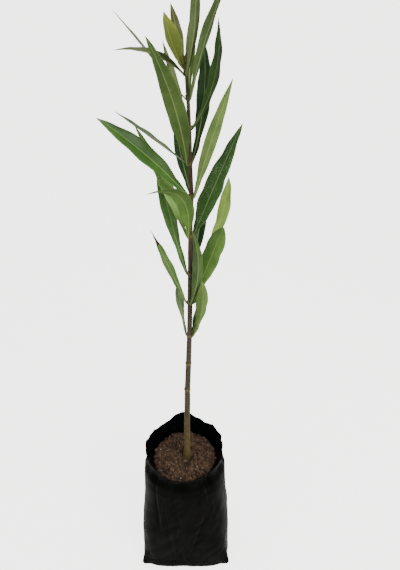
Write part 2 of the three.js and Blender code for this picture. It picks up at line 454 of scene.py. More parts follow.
def leaf_skin(name, row, gloss, rib_share, dust=0.0):
    """The leaf's green with its painted light and shade, made deeper and lighter by slow noise, with
    a pale rib and rim.
    """
    skin = Recipe(name)
    blade = skin.add("UVMap", {"uv_map": "blade"}).outputs[0]
    split = skin.add("SeparateXYZ", Vector=blade)
    layer = "upper_green_light_and_shade" if row == UPPER_ROW else "lower_green_light_and_shade"
    # the stored green holds painted light and shade for how this leaf is turned
    own = skin.add("Attribute", {"attribute_name": layer}).outputs["Color"]
    off_rib = skin.maths("ABSOLUTE", skin.maths("SUBTRACT", split.outputs[1], row))
    off_metres = skin.times(off_rib, MAP_SPAN)
    along = skin.times(split.outputs[0], MAP_SPAN)
    slope = skin.maths("SUBTRACT", along, skin.times(off_metres, VEIN_SLANT))
    wobble = skin.times(skin.noise(160.0), 1.2 * MM)
    phase = skin.times(skin.maths("ADD", slope, wobble), 2 * np.pi / VEIN_GAP)
    veins = skin.span(skin.maths("SINE", phase), 0.2, 1.0)
    on_rib = skin.span(off_metres, 0.25 * MM, 0.6 * MM, 1.0, 0.0)
    on_rib = skin.times(on_rib, skin.read("rib"))
    patches = skin.span(skin.noise(34.0, 4.0), 0.36, 0.68)
    flecks = skin.noise(420.0, 2.0)
    deep = skin.mix(1.0, own, (0.72, 0.78, 0.70, 1), "MULTIPLY")
    light = skin.mix(1.0, own, (1.34, 1.24, 1.2, 1), "MULTIPLY")
    pale = skin.mix(rib_share, light, RIB_PALE)
    patchy = skin.times(skin.maths("SUBTRACT", patches, 0.5), 0.35)
    dried = skin.span(skin.maths("ADD", skin.read("dry"), patchy), 0.35, 0.6)
    green = skin.coats(
        deep, (patches, light),
        (skin.times(veins, 0.22), light),
        (skin.span(flecks, 0.35, 0.75, 0.0, 0.3), deep),
        (skin.times(skin.read("rim"), 0.4), pale),
        (skin.times(on_rib, 0.85), pale))
    if dust:
        grains = skin.add("TexVoronoi", Vector=skin.place, Scale=640.0)
        dots = skin.span(grains.outputs["Distance"], 0.14, 0.30, 1.0, 0.0)
        dots = skin.times(dots, skin.span(skin.noise(60.0), 0.40, 0.62))
        green = skin.coats(green, (skin.times(dots, dust), "a4ae9c"))
    green = skin.coats(green, (dried, DRY_BROWN))
    rough = skin.span(skin.noise(70.0), 0.3, 0.7, gloss - 0.05, gloss + 0.08)
    height = skin.maths("ADD", skin.times(veins, 0.5), skin.times(flecks, 0.4))
    return skin.finish(green, rough, height, distance=0.12 * MM)


UPPER_SKIN = leaf_skin("leaf_upper", UPPER_ROW, 0.40, 0.42)
DUSTY_SKIN = leaf_skin("leaf_upper_dusty", UPPER_ROW, 0.44, 0.42, 0.6)
LOWER_SKIN = leaf_skin("leaf_lower", LOWER_ROW, 0.55, 0.38)
print("three leaf finishes")

# %% [markdown]
# ## Leaf blades
# A blade could be a flat outline given thickness by a modifier, but a real leaf is a shallow
# gutter: thick at the rib, thin and slightly rolled at the rim, and a little wavy. So each
# section across the leaf is drawn as a closed loop, upper skin one way and lower skin back,
# and the loop is carried along the spine read from the solid. Columns crowd towards the
# rib, where the section bends most. The stalk at the foot is the same loop, narrow and round,
# and runs on into the stem.

# %% Blade surface
STATIONS = 60
COLUMNS = 11
STALK_LENGTH = 0.13
TIP_SHARE, FOOT_SHARE = 0.10, 0.16
BLADE_THICK, RIB_THICK, STALK_THICK = 0.32 * MM, 0.55 * MM, 1.5 * MM
STALK_HALF = 1.1 * MM
LEAST_HALF = 0.2 * MM
RIB_HALF = 0.55 * MM
LONG_DRY_TIP = 0.15


class Leaf(NamedTuple):
    """What sets one leaf apart from the others."""
    upper: str  # green of the upper face, with painted light and shade for how the leaf is turned
    lower: str  # green of the lower face, with painted light and shade for how the leaf is turned
    halves: tuple = (1, 1)  # painted light and shade: brightness of the left and of the right half
    dry: float = 0  # share of the length that is dry at the tip
    wave: float = 0.3  # height of the margin's ripple, in millimetres
    blunt: float = 0  # how round the tip is, from 0 to 1
    fuller: float = 1  # how much wider than its solid it has spread
    dusty: bool = False


# Each leaf's greens hold painted light and shade as well as its age: the very dark greens of leaves
# at the back are painted shade.
LEAF_CHARACTER = {
    "a_left": Leaf("70835f", "7a8c6c", dry=0.10, wave=0.5, fuller=1.25),
    "a_front": Leaf("375419", "536d34", (1.22, 0.78), wave=0.6, blunt=0.2, fuller=1.3),
    "a_back": Leaf("263f0b", "37531a"),
    "b_left": Leaf("54703c", "566e45", (1.01, 0.99), dry=0.22, wave=0.7, fuller=1.1),
    "b_front": Leaf("2d4824", "435a2f", (1.15, 0.85), wave=0.4),
    "b_right": Leaf("4f6f30", "5c7645", (0.72, 1.30), wave=0.5, blunt=0.75),
    "c_left": Leaf("50723b", "658050", (1.18, 0.82), wave=0.7),
    "c_right": Leaf("89a752", "8fa85e", (0.91, 1.09), wave=1.3, blunt=0.3),
    "c_back": Leaf("072703", "123b07", wave=0.5),
    "d_front": Leaf("395c22", "4b692c", (0.72, 1.28), dry=0.03, wave=0.4),
    "d_left": Leaf("85ad5d", "97b77b", (1.13, 0.87), dry=0.03, wave=0.6),
    "d_right": Leaf("315022", "446133", (0.76, 1.24), wave=0.9, blunt=0.1, dusty=True),
    "e_left": Leaf("365821", "3e5b2a", (1.30, 0.72), wave=0.6),
    "e_right": Leaf("4e652d", "60783f", (1.06, 0.94), dry=0.03),
    "e_back": Leaf("1a3713", "26441b", (0.92, 1.08), wave=0.4),
    "f_front": Leaf("354d21", "465c2b", (0.87, 1.13), wave=0.4),
    "f_left": Leaf("59684e", "59684e", wave=0.4),
    "f_right": Leaf("21391d", "344e2f", (0.97, 1.03), wave=0.6, blunt=0.1),
    "g_right": Leaf("304c1d", "43632d", (1.30, 0.72), wave=0.6),
    "g_left": Leaf("7d8d4f", "8d9c5b", wave=0.4),
    "h_left": Leaf("5c6951", "5c6951"),
    "h_right": Leaf("344820", "41522d", (0.87, 1.13), wave=0.4),
    "h_back": Leaf("4a5a29", "62703a"),
    "i_left": Leaf("4f5a39", "586646"),
    "i_front": Leaf("455329", "505f3a", (0.72, 1.30), wave=0.2),
    "j_left": Leaf("69752d", "697538", (0.93, 1.07)),
    "j_back": Leaf("3e4114", "414216"),
}


def leaf_spine(name):
    """The blade's frame, with one more point at its foot, just inside the stem."""
    middles, across, halves, lifts = blade_frames(rings_of(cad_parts[name], stem_points))
    centre, radius = stem_centre(middles[0, 2] - 2.2 * MM)
    outward = unit((middles[0] - centre) * [1, 1, 0])
    foot = centre + outward * (radius - 0.3 * MM)
    middles = np.concatenate([[foot], middles])
    across = np.concatenate([across[:1], across])
    halves = np.concatenate([[STALK_HALF], halves])
    lifts = np.concatenate([lifts[:1] * 0, lifts])
    widest = halves.argmax()
    face = np.cross(unit(np.gradient(middles, axis=0)), across)
    if face[widest] @ lifts[widest] < 0:
        across = -across
    return middles, across, halves, np.linalg.norm(lifts, axis=1)


def blade_section(s, half, lift, thick, rib):
    """Loop of (across, up) points: upper skin from edge to edge, then the lower skin back.
    Height is the fold's lift on a rounded V, the rib stands proud below and sinks above."""
    v = np.sign(s) * np.abs(s) ** 1.5
    fold = lift[:, None] * (np.sqrt(v**2 + 0.03) - np.sqrt(0.03)) / (np.sqrt(1.03) - np.sqrt(0.03))
    curl = -0.06 * half[:, None] * np.abs(v) ** 4
    swell = bell(np.abs(v) * half[:, None], RIB_HALF)
    body = 0.5 * thick[:, None] * np.sqrt(np.clip(1 - np.abs(v) ** 6, 0, 1))
    upper = fold + curl + body - 0.25 * rib[:, None] * swell
    lower = fold + curl - body - rib[:, None] * swell
    x = half[:, None] * v
    back = slice(-2, 0, -1)
    return np.hstack([x, x[:, back]]), np.hstack([upper, lower[:, back]])


def blade(name, seed):
    """Carries the section along the spine; the margins rise and fall in a slow sine ripple."""
    leaf = LEAF_CHARACTER[name.removeprefix("leaf_")]
    middles, across, halves, lifts = leaf_spine(name)
    rng = np.random.default_rng(seed)
    at = np.linspace(0, 1, STATIONS) * (len(middles) - 1)
    spine = through(middles, at)
    wing = through(across, at)
    half = np.clip(through(halves, at), 0, None) * leaf.fuller
    lift = np.clip(through(lifts, at), 0, None)
    tangent = unit(np.gradient(spine, axis=0))
    wing = unit(wing - tangent * (wing * tangent).sum(1, keepdims=True))
    face = np.cross(tangent, wing)
    length = np.concatenate([[0], np.cumsum(np.linalg.norm(np.diff(spine, axis=0), axis=1))])
    share = length / length[-1]
    round_end = np.clip((share - 0.72) / 0.2, 0, 1) * np.sqrt(np.clip(1 - share, 0, 1) / 0.28)
    widest = halves.max()
    foot_half = STALK_HALF + (0.44 * widest - STALK_HALF) * np.clip(share / FOOT_SHARE, 0, 1)
    tip_half = 0.32 * widest * np.clip((1 - share) / TIP_SHARE, 0, 1) ** 0.8
    least = np.where(share < 0.5, foot_half, tip_half)
    half = half + leaf.blunt * widest * 0.62 * round_end
    half = np.maximum(half, np.maximum(least, LEAST_HALF))
    if leaf.dry > LONG_DRY_TIP:
        half = half * (1 - 0.42 * np.clip((share - 1 + leaf.dry) / 0.08, 0, 1))
    stalk = np.clip(1 - share / STALK_LENGTH, 0, 1)
    thick = BLADE_THICK + (STALK_THICK - BLADE_THICK) * stalk ** 1.5
    thick = np.where(share > 0.97, thick * 0.5, thick)
    rib = RIB_THICK * (1 - share) * (1 - stalk) * np.clip(half / (2 * MM), 0, 1)
    s = np.linspace(-1, 1, COLUMNS * 2 + 1)
    loop_x, loop_y = blade_section(s, half, lift, thick, rib)
    edge = np.abs(loop_x) / half[:, None]
    phase = rng.uniform(0, 2 * np.pi, 2)
    side = np.where(loop_x > 0, phase[0], phase[1])
    turns = rng.uniform(3.0, 4.2)
    ripple = leaf.wave * MM * np.sin(2 * np.pi * turns * share[:, None] + side) * edge ** 2
    ripple *= (np.clip(half / (5 * MM), 0, 1) * np.clip((1 - share) * 6, 0, 1))[:, None]
    sway = np.sin(2 * np.pi * 1.7 * turns * share[:, None] + side * 2)
    loop_x = loop_x * (1 + 0.035 * leaf.wave * sway * edge)
    loop_y = loop_y + ripple
    points = spine[:, None] + wing[:, None] * loop_x[..., None] + face[:, None] * loop_y[..., None]
    below = (np.arange(points.shape[1]) >= len(s) - 1).astype(int)
    skins = [DUSTY_SKIN if leaf.dusty else UPPER_SKIN, LOWER_SKIN]
    piece = tube_piece(name + "_blade", points[:, ::-1], skins, np.roll(below[::-1], -1))
    layout_blade(piece, loop_x[:, ::-1], length)
    rim = np.clip((edge - 0.93) / 0.07, 0, 1)[:, ::-1]
    ribbed = (0.35 + 0.65 * np.clip((1 - share) * 1.6, 0, 1))[:, None]
    dryness = (np.clip((share - 1 + leaf.dry) / 0.05, 0, 1) * (leaf.dry > 0))[:, None]
    for label, values in (("rim", rim), ("rib", ribbed), ("dry", dryness)):
        paint(piece, label, with_ends(np.broadcast_to(values, rim.shape)))
    # painted light and shade: one half of the blade lighter and the other darker, as if the light
    # came from one side
    side = np.tanh(3 * (loop_x / half.max())[:, ::-1])
    left, right = leaf.halves
    half_light_and_shade = with_ends((left + right) / 2 + (left - right) / 2 * side)
    half_light_and_shade = half_light_and_shade[:, None] ** [1, 1, 1, 0]  # the fourth channel stays 1
    paint(piece, "upper_green_light_and_shade", rgb(leaf.upper) * half_light_and_shade)
    paint(piece, "lower_green_light_and_shade", rgb(leaf.lower) * half_light_and_shade)
    return piece


def layout_blade(piece, loop_x, length):
    """A map in real lengths: along the leaf by across it, one row for each skin."""
    mesh = piece.data
    layer = mesh.uv_layers.new(name="blade")
    corners = pulled(mesh.loops, "vertex_index")
    along = with_ends(length[:, None] + 0 * loop_x)
    off = with_ends(loop_x, [0, 0])
    slots = np.repeat(pulled(mesh.polygons, "material_index"), pulled(mesh.polygons, "loop_total"))
    row = np.where(slots == 0, UPPER_ROW, LOWER_ROW)
    uv = np.stack([along[corners] / MAP_SPAN, row + off[corners] / MAP_SPAN], -1)
    layer.data.foreach_set("uv", uv.astype(np.float32).ravel())


# %% Make the leaves
for number, name in enumerate(LEAF_NODES):
    piece = blade(name, 100 + number)
    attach(piece, "root")
    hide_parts(name)
print(len(LEAF_NODES), "blades")

# %% [markdown]
# ## The stem
# A young oleander stem is smooth and round, but not plain: fine lengthwise grooves, pale
# pores, a raised ring where each whorl sits or sat, and a small scar under each fallen leaf.
# All of that is a small change of radius, so the stem is one tube whose radius is a sum of
# such terms. The relief is in the mesh, and the colour follows height, from grey-brown old
# bark to the reddish green of the tip.

# %% Bark
BARE_RINGS = (0.339, 0.384)
LEAF_FEET = np.array([leaf_spine(name)[0][:3] for name in LEAF_NODES])
RING_HEIGHTS = np.array([*BARE_RINGS, *sorted({round(z, 3) for z in LEAF_FEET[:, 1, 2].tolist()})])
SOIL_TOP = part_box("soil")[1][2]
STEM_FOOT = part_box("stem")[0][2]
STEM_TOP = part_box("stem")[1][2]


def stem_surface(rows=620, columns=56):
    """Radius = taper + flare at the soil + rings + grooves + pores + bumps of slow noise."""
    height = np.linspace(STEM_FOOT - 4 * MM, STEM_TOP - 1 * MM, rows)
    centre, radius = stem_centre(height)
    knots = np.linspace(0, rows - 1, 24).astype(int)
    calm = np.array([np.median(radius[max(0, knot - 9):knot + 10]) for knot in knots])
    taper = np.interp(height, height[knots], calm)
    flare = 0.5 * MM * np.exp(-((height - STEM_FOOT) / (7 * MM)))
    z, a = np.meshgrid(height, circle(columns), indexing="ij")
    shape = (taper + flare)[:, None] * np.ones_like(a)
    above = z[..., None] - RING_HEIGHTS
    shape += 0.42 * MM * bell(above, 1.3 * MM).sum(-1) * (taper / (3 * MM))[:, None]
    for ring_height in BARE_RINGS:
        for scar in range(3):
            off_angle = wrapped(a - scar * 2 * np.pi / 3 - 40 * ring_height)
            off_height = z - ring_height + 0.6 * MM
            shape += 0.75 * MM * bell(off_height, 1.1 * MM) * bell(off_angle, 0.42)
    shape -= 0.14 * MM * bell(above + 2.2 * MM, 0.5 * MM).sum(-1)
    groove = np.sin(9 * a + 3 * smooth_noise(z[..., None] * [1, 0, 0], 3, size=0.05))
    shape += 0.06 * MM * groove
    shape += 0.10 * MM * smooth_noise(around(a, 0.01, z * 0.25), 4, size=0.0035)
    shape += 0.045 * MM * smooth_noise(around(a, 0.01, z * 0.12), 5, waves=12, size=0.0009)
    return around(a, shape, 0) + centre[:, None], height


PORE_LIFT = 0.05 * MM


def pores(points, height, count=260):
    """Small lengthwise bumps: each lifts the points round one place on the bark."""
    rng = np.random.default_rng(21)
    middle = points.mean(1, keepdims=True)
    rows, columns = points.shape[:2]
    row = rng.integers(20, int(rows * 0.62), count)
    column = rng.integers(0, columns, count)
    mark = np.zeros((rows, columns))
    step = (height[1] - height[0]) / MM
    for r, c in zip(row, column):
        near = np.arange(r - 4, r + 5)
        gap = (np.arange(columns) - c + columns // 2) % columns - columns // 2
        bump = bell((near - r)[:, None] * step, 0.9) * bell(gap, 0.9)
        mark[near] = np.maximum(mark[near], bump)
    return points + unit(points - middle) * (PORE_LIFT * mark)[..., None], mark


stem_grid, stem_height = stem_surface()
stem_grid, pore_marks = pores(stem_grid, stem_height)


# %% Bark finish
def bark_finish():
    """Grey-brown low down, warm brown in the middle, reddish green at the tip."""
    bark = Recipe("bark")
    height = bark.add("SeparateXYZ", Vector=bark.place).outputs[2]
    drawn_out = bark.squeezed(0.16)
    streak = bark.noise(900.0, 5.0, 0.65, drawn_out)
    broad = bark.noise(160.0, at=drawn_out)
    ramp = bark.add("ValToRGB", Fac=bark.span(height, 0.2, 0.74))
    stops = ((0.0, "62532f"), (0.08, "41341b"), (0.35, "3a3017"),
             (0.6, "352a17"), (0.9, "4a2f20"), (1.0, "3f4722"))
    elements = ramp.color_ramp.elements
    while len(elements) < len(stops):
        elements.new(0.5)
    for element, (spot, code) in zip(elements, stops):
        element.position = spot
        element.color = rgb(code)
    colour = bark.coats(
        ramp.outputs[0],
        (bark.span(streak, 0.35, 0.7, 0.0, 0.55), "261c12"),
        (bark.span(broad, 0.45, 0.75, 0.0, 0.3), "5c5238"),
        (bark.times(bark.read("pore"), 0.3), "7c6b45"),
        (bark.times(bark.read("ring"), 0.5), "806c48"),
        (bark.span(height, SOIL_TOP - 2 * MM, SOIL_TOP + 12 * MM, 0.6, 0.0), "33261b"))
    rough = bark.span(streak, 0.3, 0.7, 0.5, 0.72)
    return bark.finish(colour, rough, streak, strength=0.35, distance=0.3 * MM, specular=0.4)


stem_piece = tube_piece("stem_bark", stem_grid, [bark_finish()])
ring_marks = bell(stem_grid[..., 2:3] - RING_HEIGHTS, 1.6 * MM).sum(-1)
paint(stem_piece, "pore", with_ends(pore_marks))
paint(stem_piece, "ring", with_ends(ring_marks, [0, 0]))
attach(stem_piece, "root")
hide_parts("stem")
print("stem", len(stem_piece.data.polygons), "faces")

# %% [markdown]
# ## Buds
# In the angle between each leaf and the stem sits a bud like a grain of rice, and the stem
# ends in a tight point of unopened leaves. They are small closed spindles, all joined.


# %% Buds in the leaf angles and at the tip
def spindles(name, places, ways, lengths, widths, material, rows=9, columns=10):
    """Each bud is a spindle: radius = width * sin(pi * t^0.8), along its own way."""
    t = np.linspace(0, 1, rows)
    radius = np.sin(np.pi * np.clip(t, 0.03, 0.985) ** 0.8)
    turn = circle(columns)
    ways = unit(ways)
    side = unit(np.cross(ways, [0.31, 0.17, 0.05]))
    up = np.cross(ways, side)
    ring = side[:, None] * np.cos(turn)[:, None] + up[:, None] * np.sin(turn)[:, None]
    spine = places[:, None] + ways[:, None] * (t[:, None] * lengths[:, None, None])
    points = spine[:, :, None] + ring[:, None] * (radius[:, None, None] * widths[:, None, None, None])
    ends = np.stack([spine[:, 0], spine[:, -1]], 1)
    points = np.concatenate([points.reshape(len(places), -1, 3), ends], 1)
    triangles = np.concatenate([halved(tube_faces(rows, columns)), end_fans(rows, columns)])
    return copies_piece(name, points, triangles, material, smooth=True)


def bud_finish():
    """Green-brown, blotched by fine noise."""
    bud = Recipe("bud")
    tint = bud.noise(900.0)
    colour = bud.coats(rgb("4a3a22"), (bud.span(tint, 0.35, 0.7), "5f6430"))
    return bud.finish(colour, 0.55, tint, specular=0.4)


centres, radii = stem_centre(LEAF_FEET[:, 0, 2])
outward = unit((LEAF_FEET[:, 2] - centres) * [1, 1, 0])
bud_places = centres + outward * (radii * 0.9)[:, None] + [0, 0, 2.0 * MM]
bud_ways = outward * 0.45 + [0, 0, 1.0]
bud_lengths, bud_widths = np.tile([[3.4 * MM], [0.75 * MM]], len(LEAF_NODES))
crown, _ = stem_centre(STEM_TOP - 2 * MM)
tip_places = np.tile(crown, (4, 1))
tip_ways = np.array([[0.05, -0.05, 1.0], [-0.22, 0.1, 1.0], [0.2, 0.12, 1.0], [0.02, -0.26, 1.0]])
tip_lengths, tip_widths = np.array([[11, 8.5, 7.5, 6.5], [1.3, 0.9, 0.85, 0.8]]) * MM
bud_skin = bud_finish()
for piece in (spindles("side_buds", bud_places, bud_ways, bud_lengths, bud_widths, bud_skin),
              spindles("tip_bud", tip_places, tip_ways, tip_lengths, tip_widths, bud_skin)):
    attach(piece, "root")
print(len(LEAF_NODES), "side buds and one at the tip")

# %% [markdown]
# ## The film bag
# The bag is a flattened tube of thin black film, welded across the foot and filled, so it is
# nearly square at the foot, round where the soil stops and loose above it. A cloth simulation
# could crumple it, but a filled film bag hardly moves: its look is its creases. So the bag is
# one skin, out under the foot, up the outside, over the rim and down the inside, whose radius
# is the oval of the filled bag less a sum of creases that run mostly up and down.

# %% The film's radius
BAG_LOW, BAG_HIGH = (np.array(corner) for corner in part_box("bag"))
HALF_ACROSS, HALF_DEEP = (BAG_HIGH[:2] - BAG_LOW[:2]) / 2
SOIL_EDGE = 0.202
FILM = 0.5 * MM
WALL_START = 3 * MM
NECK = 0.200
EAR_HEIGHT, EAR_TURN, EAR_SPREAD = 34 * MM, 0.62, 0.07
# height in metres, share of the half width, share of the half depth, corner (2 round, 5 square)
BAG_PROFILE = np.array([
    [0.000, 0.952, 0.940, 5.0],
    [0.006, 0.995, 0.985, 5.0],
    [0.030, 0.995, 0.998, 4.5],
    [0.080, 0.978, 0.991, 3.4],
    [0.135, 0.908, 0.974, 2.7],
    [0.175, 0.882, 0.949, 2.3],
    [0.190, 0.866, 0.923, 2.1],
    [0.202, 0.790, 0.855, 2.0],
    [0.212, 0.795, 0.897, 2.0],
    [0.224, 0.828, 0.957, 2.0],
    [0.240, 0.834, 0.966, 2.0],
])


def oval(angle, height):
    """Superellipse: (|cos|/across)^p + (|sin|/deep)^p to the power -1/p."""
    at = np.interp(height.ravel(), BAG_PROFILE[:, 0], np.arange(len(BAG_PROFILE)))
    shape = through(BAG_PROFILE, at).reshape(*height.shape, 4)
    across, deep, power = shape[..., 1] * HALF_ACROSS, shape[..., 2] * HALF_DEEP, shape[..., 3]
    x = (np.abs(np.cos(angle)) / across) ** power
    y = (np.abs(np.sin(angle)) / deep) ** power
    return (x + y) ** (-1 / power)


def creases(angle, height, seed=8, count=46):
    """Each crease is a narrow dent a0 + drift * z, fading in and out over its own height."""
    rng = np.random.default_rng(seed)
    total = np.zeros_like(angle)
    for _ in range(count):
        start, drift = rng.uniform(0, 2 * np.pi), rng.normal(0, 1.6)
        middle, reach = rng.uniform(0.02, 0.235), rng.uniform(0.02, 0.075)
        width, depth = rng.uniform(0.02, 0.06), rng.uniform(0.25, 1.25) * MM
        off = wrapped(angle - start - drift * (height - middle))
        total += depth / (1 + (off / width) ** 2) * bell(height - middle, reach)
    return total


def pleats(angle, height):
    """The soil's edge gathers the film: sharp-backed waves that are strongest at the neck."""
    near = bell(height - NECK, 20 * MM)
    phase = 13 * angle + 1.7 * np.sin(3 * angle + 0.6) + 30 * (height - NECK)
    return 0.9 * MM * near * (1 - np.abs(np.sin(phase / 2))) ** 1.5


def side_folds(angle, height):
    """The gusset at each side of the tube: one long inward fold with a dent on both edges."""
    total = np.zeros_like(angle)
    up = np.clip((height - 0.03) / 0.05, 0, 1)
    for middle, drift in ((0.10, 0.9), (np.pi - 0.16, -0.7)):
        off = wrapped(angle - middle - drift * (height - 0.12))
        total += up * MM * (2.1 * bell(off, 0.055) + 0.7 * bell(np.abs(off) - 0.26, 0.04))
    return total


def film_radius(angle, height):
    """The oval less its creases, with corners drawn out to small ears at the foot."""
    angle, height = np.broadcast_arrays(angle, height)
    round_place = around(angle, 0.06, height * 0.55)
    slump = 0.9 * MM * (1 + smooth_noise(round_place, 31, waves=9, size=0.016) / 2.4)
    crumple = 0.35 * MM * (1 - np.abs(smooth_noise(round_place, 32, waves=10, size=0.0062)))
    dents = creases(angle, height) + pleats(angle, height) + side_folds(angle, height)
    dents = dents + np.clip(slump, 0, None) * np.clip(height / 0.02, 0, 1) + crumple
    loose = np.clip((height - 0.208) / 0.03, 0, 1)
    flutter = loose * MM * (1.6 * np.sin(5 * angle + 0.9) + 1.1 * np.sin(11 * angle + 2.0))
    foot = np.clip(1 - height / EAR_HEIGHT, 0, 1)
    corner = np.abs(np.abs(wrapped(2 * angle)) / 2 - EAR_TURN)
    ears = 8.5 * MM * foot * bell(corner, EAR_SPREAD)
    dents = np.clip(dents, 0, 5 * MM) * (1 - 0.6 * loose)
    return oval(angle, height) - dents - np.clip(flutter, -0.6 * MM, 2.2 * MM) + ears


def rim_height(angle):
    """A peak behind the stem, a dip to the soil in front, and small kinks all round."""
    back = np.sin(angle)
    wave = 3 * MM * np.cos(5 * angle - 1.4) * (1 - np.abs(back))
    peak = 15 * MM * np.clip(back, 0, 1) ** 16 - 15 * MM * np.clip(-back, 0, 1) ** 1.5
    sides = 2.5 * MM * bell(back, 0.25)
    left_slack = 2.5 * MM * bell(wrapped(angle) - 2.45, 0.4)
    right_lift = 2 * MM * bell(wrapped(angle) - 0.75, 0.3)
    peak = peak - sides - left_slack + right_lift
    ring = around(angle, 0.06, 0)
    kinks = 2.3 * MM * (0.55 - np.abs(smooth_noise(ring, 41, waves=9, size=0.008)))
    cut = 0.5 * MM * smooth_noise(ring, 42, waves=9, size=0.003)
    return SOIL_EDGE + 22 * MM + wave + peak + np.clip(kinks, -3 * MM, 1.1 * MM) + cut + 0.8 * MM


# %% The film's skin
WALL_ROWS, INNER_ROWS = 120, 34
FOOT_SHARES = np.array([0.05, 0.35, 0.65, 0.86, 0.955, 0.99])[:, None]
FOOT_LIFTS = np.array([0.0012, 0.0012, 0.0008, 0.0002, 0.0, 0.0008])[:, None]
PLUG_SHARES = np.array([0.7, 0.35, 0.04])[:, None]


def bag_surface(columns=336):
    """Rows: foot disc outward, wall upward, a small roll over the rim, inner wall downward."""
    angle = circle(columns)[None]
    top = rim_height(angle)
    low = SOIL_EDGE - 12 * MM
    outer_z = WALL_START + (top - WALL_START) * np.linspace(0, 1, WALL_ROWS)[:, None]
    inner_z = top + (low - top) * np.linspace(0, 1, INNER_ROWS)[:, None]
    outer = film_radius(angle, outer_z)
    inner = film_radius(angle, inner_z) - FILM
    foot = outer[:1] * FOOT_SHARES
    roll = film_radius(angle, top) - FILM / 2
    plug = inner[-1] * PLUG_SHARES
    radius = np.concatenate([foot, outer, roll, inner, plug])
    height = np.concatenate([FOOT_LIFTS + 0 * foot, outer_z, top + FILM / 2, inner_z, low + 0 * plug])
    return around(angle, radius, height)


def film_finish():
    """Near black film: glossy, greyer on the ridges of its creases and on one ear at the foot, partly
    scuffs and partly painted sheen, with a little brown dust.
    """
    film = Recipe("black_film")
    drawn_out = film.squeezed(0.22)
    scuffs = film.noise(55.0, 5.0, 0.62, drawn_out)
    fine = film.noise(420.0, at=drawn_out)
    dusty = film.noise(24.0, 4.0)
    # painted sheen and scuffs: the raised film between creases, and one ear, is painted lighter grey
    sheen_and_scuff = film.times(film.read("ridge_sheen_and_scuff"), film.span(scuffs, 0.3, 0.6))
    grains = film.add("TexVoronoi", Vector=film.place, Scale=520.0)
    dots = film.span(grains.outputs["Distance"], 0.08, 0.18, 1.0, 0.0)
    colour = film.coats(
        rgb("020202"),
        (film.span(scuffs, 0.4, 0.72), "050606"),
        (film.times(sheen_and_scuff, 0.26), "1b1e1d"),
        (film.span(dusty, 0.5, 0.75, 0.0, 0.25), "14100e"),
        (film.times(dots, film.span(dusty, 0.52, 0.66, 0.0, 0.7)), "3a2f26"),
        (film.read("inside"), "040507"))
    rough = film.span(scuffs, 0.35, 0.7, 0.28, 0.5)
    return film.finish(colour, rough, fine, strength=0.15, specular=0.028)


film_grid = bag_surface()
bag_piece = tube_piece("bag_film", film_grid, [film_finish()])
film_x, film_y, film_z = np.moveaxis(film_grid, -1, 0)
film_turn = np.arctan2(film_y, film_x)
past_rim = np.arange(len(film_grid)) > len(FOOT_SHARES) + WALL_ROWS
inside = past_rim[:, None] * np.ones(film_grid.shape[1])
sunk = oval(film_turn, film_z) - np.hypot(film_x, film_y)
# mask of the raised film between creases, and of one ear at the foot, for painted sheen and scuffs
ridge_sheen_and_scuff = np.clip(1 - (sunk - 0.7 * MM) / (1.3 * MM), 0, 1) ** 2 * (1 - inside)
ear_sheen_and_scuff = np.clip(1 - film_z / EAR_HEIGHT, 0, 1) * bell(film_turn + EAR_TURN, EAR_SPREAD)
paint(bag_piece, "inside", with_ends(inside))
paint(bag_piece, "ridge_sheen_and_scuff", with_ends(ridge_sheen_and_scuff + 1.2 * ear_sheen_and_scuff, [0, 0]))
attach(bag_piece, "root")
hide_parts("bag")
print("bag", len(bag_piece.data.polygons), "faces")

# %% [markdown]
# ## Coir and crumbs
# The growing mix is coconut fibre with bits of bark. Its surface is drawn as a low mound with
# three sizes of lumps in it; then loose crumbs, short fibres and a few pale grains lie on top.
# The crumbs are all copies of one small faceted ball, squashed and turned differently, joined
# in a single mesh straight from arrays, which is far lighter than hundreds of objects.

# %% Soil mound
MOUND = 3 * MM
SOIL_REACH = 46 * MM
MOUND_REACH = 49 * MM


def soil_height(x, y):
    """MOUND * (0.75 - (radius / reach)^2), lumps of three sizes, a trench at the film."""
    edge = np.hypot(x, y) / MOUND_REACH
    place = np.stack([x, y, 0 * x], -1)
    lumps = 0.9 * MM * smooth_noise(place, 51, waves=9, size=0.0055)
    small = 0.55 * MM * smooth_noise(place, 52, waves=12, size=0.0022)
    grain = 0.25 * MM * smooth_noise(place, 53, waves=14, size=0.0009)
    stem_x, stem_y = stem_centre(SOIL_EDGE + MOUND)[0][:2]
    hollow = 1.6 * MM * bell(np.hypot(x - stem_x, y - stem_y) - 7 * MM, 3 * MM)
    trench = 9 * MM * np.clip((np.hypot(x, y) - SOIL_REACH) / (3 * MM), 0, 1)
    return SOIL_EDGE + MOUND * (0.75 - edge**2) + lumps + small + grain - hollow - trench


def on_mound(angle, radius):
    """Points of the soil's surface at these angles and distances from the middle."""
    points = around(angle, radius, 0.0)
    points[..., 2] = soil_height(points[..., 0], points[..., 1])
    return points


def soil_surface(rows=110, columns=300):
    """Polar grid from the middle to the film, then down inside it and back to the middle."""
    angle = circle(columns)[None]
    wall = film_radius(angle, SOIL_EDGE) - FILM * 0.5
    points = on_mound(angle, wall * np.linspace(0.004, 1, rows)[:, None])
    under = around(angle, wall * np.array([[0.985], [0.5], [0.02]]), SOIL_EDGE - 16 * MM)
    return np.concatenate([points, under])[::-1]


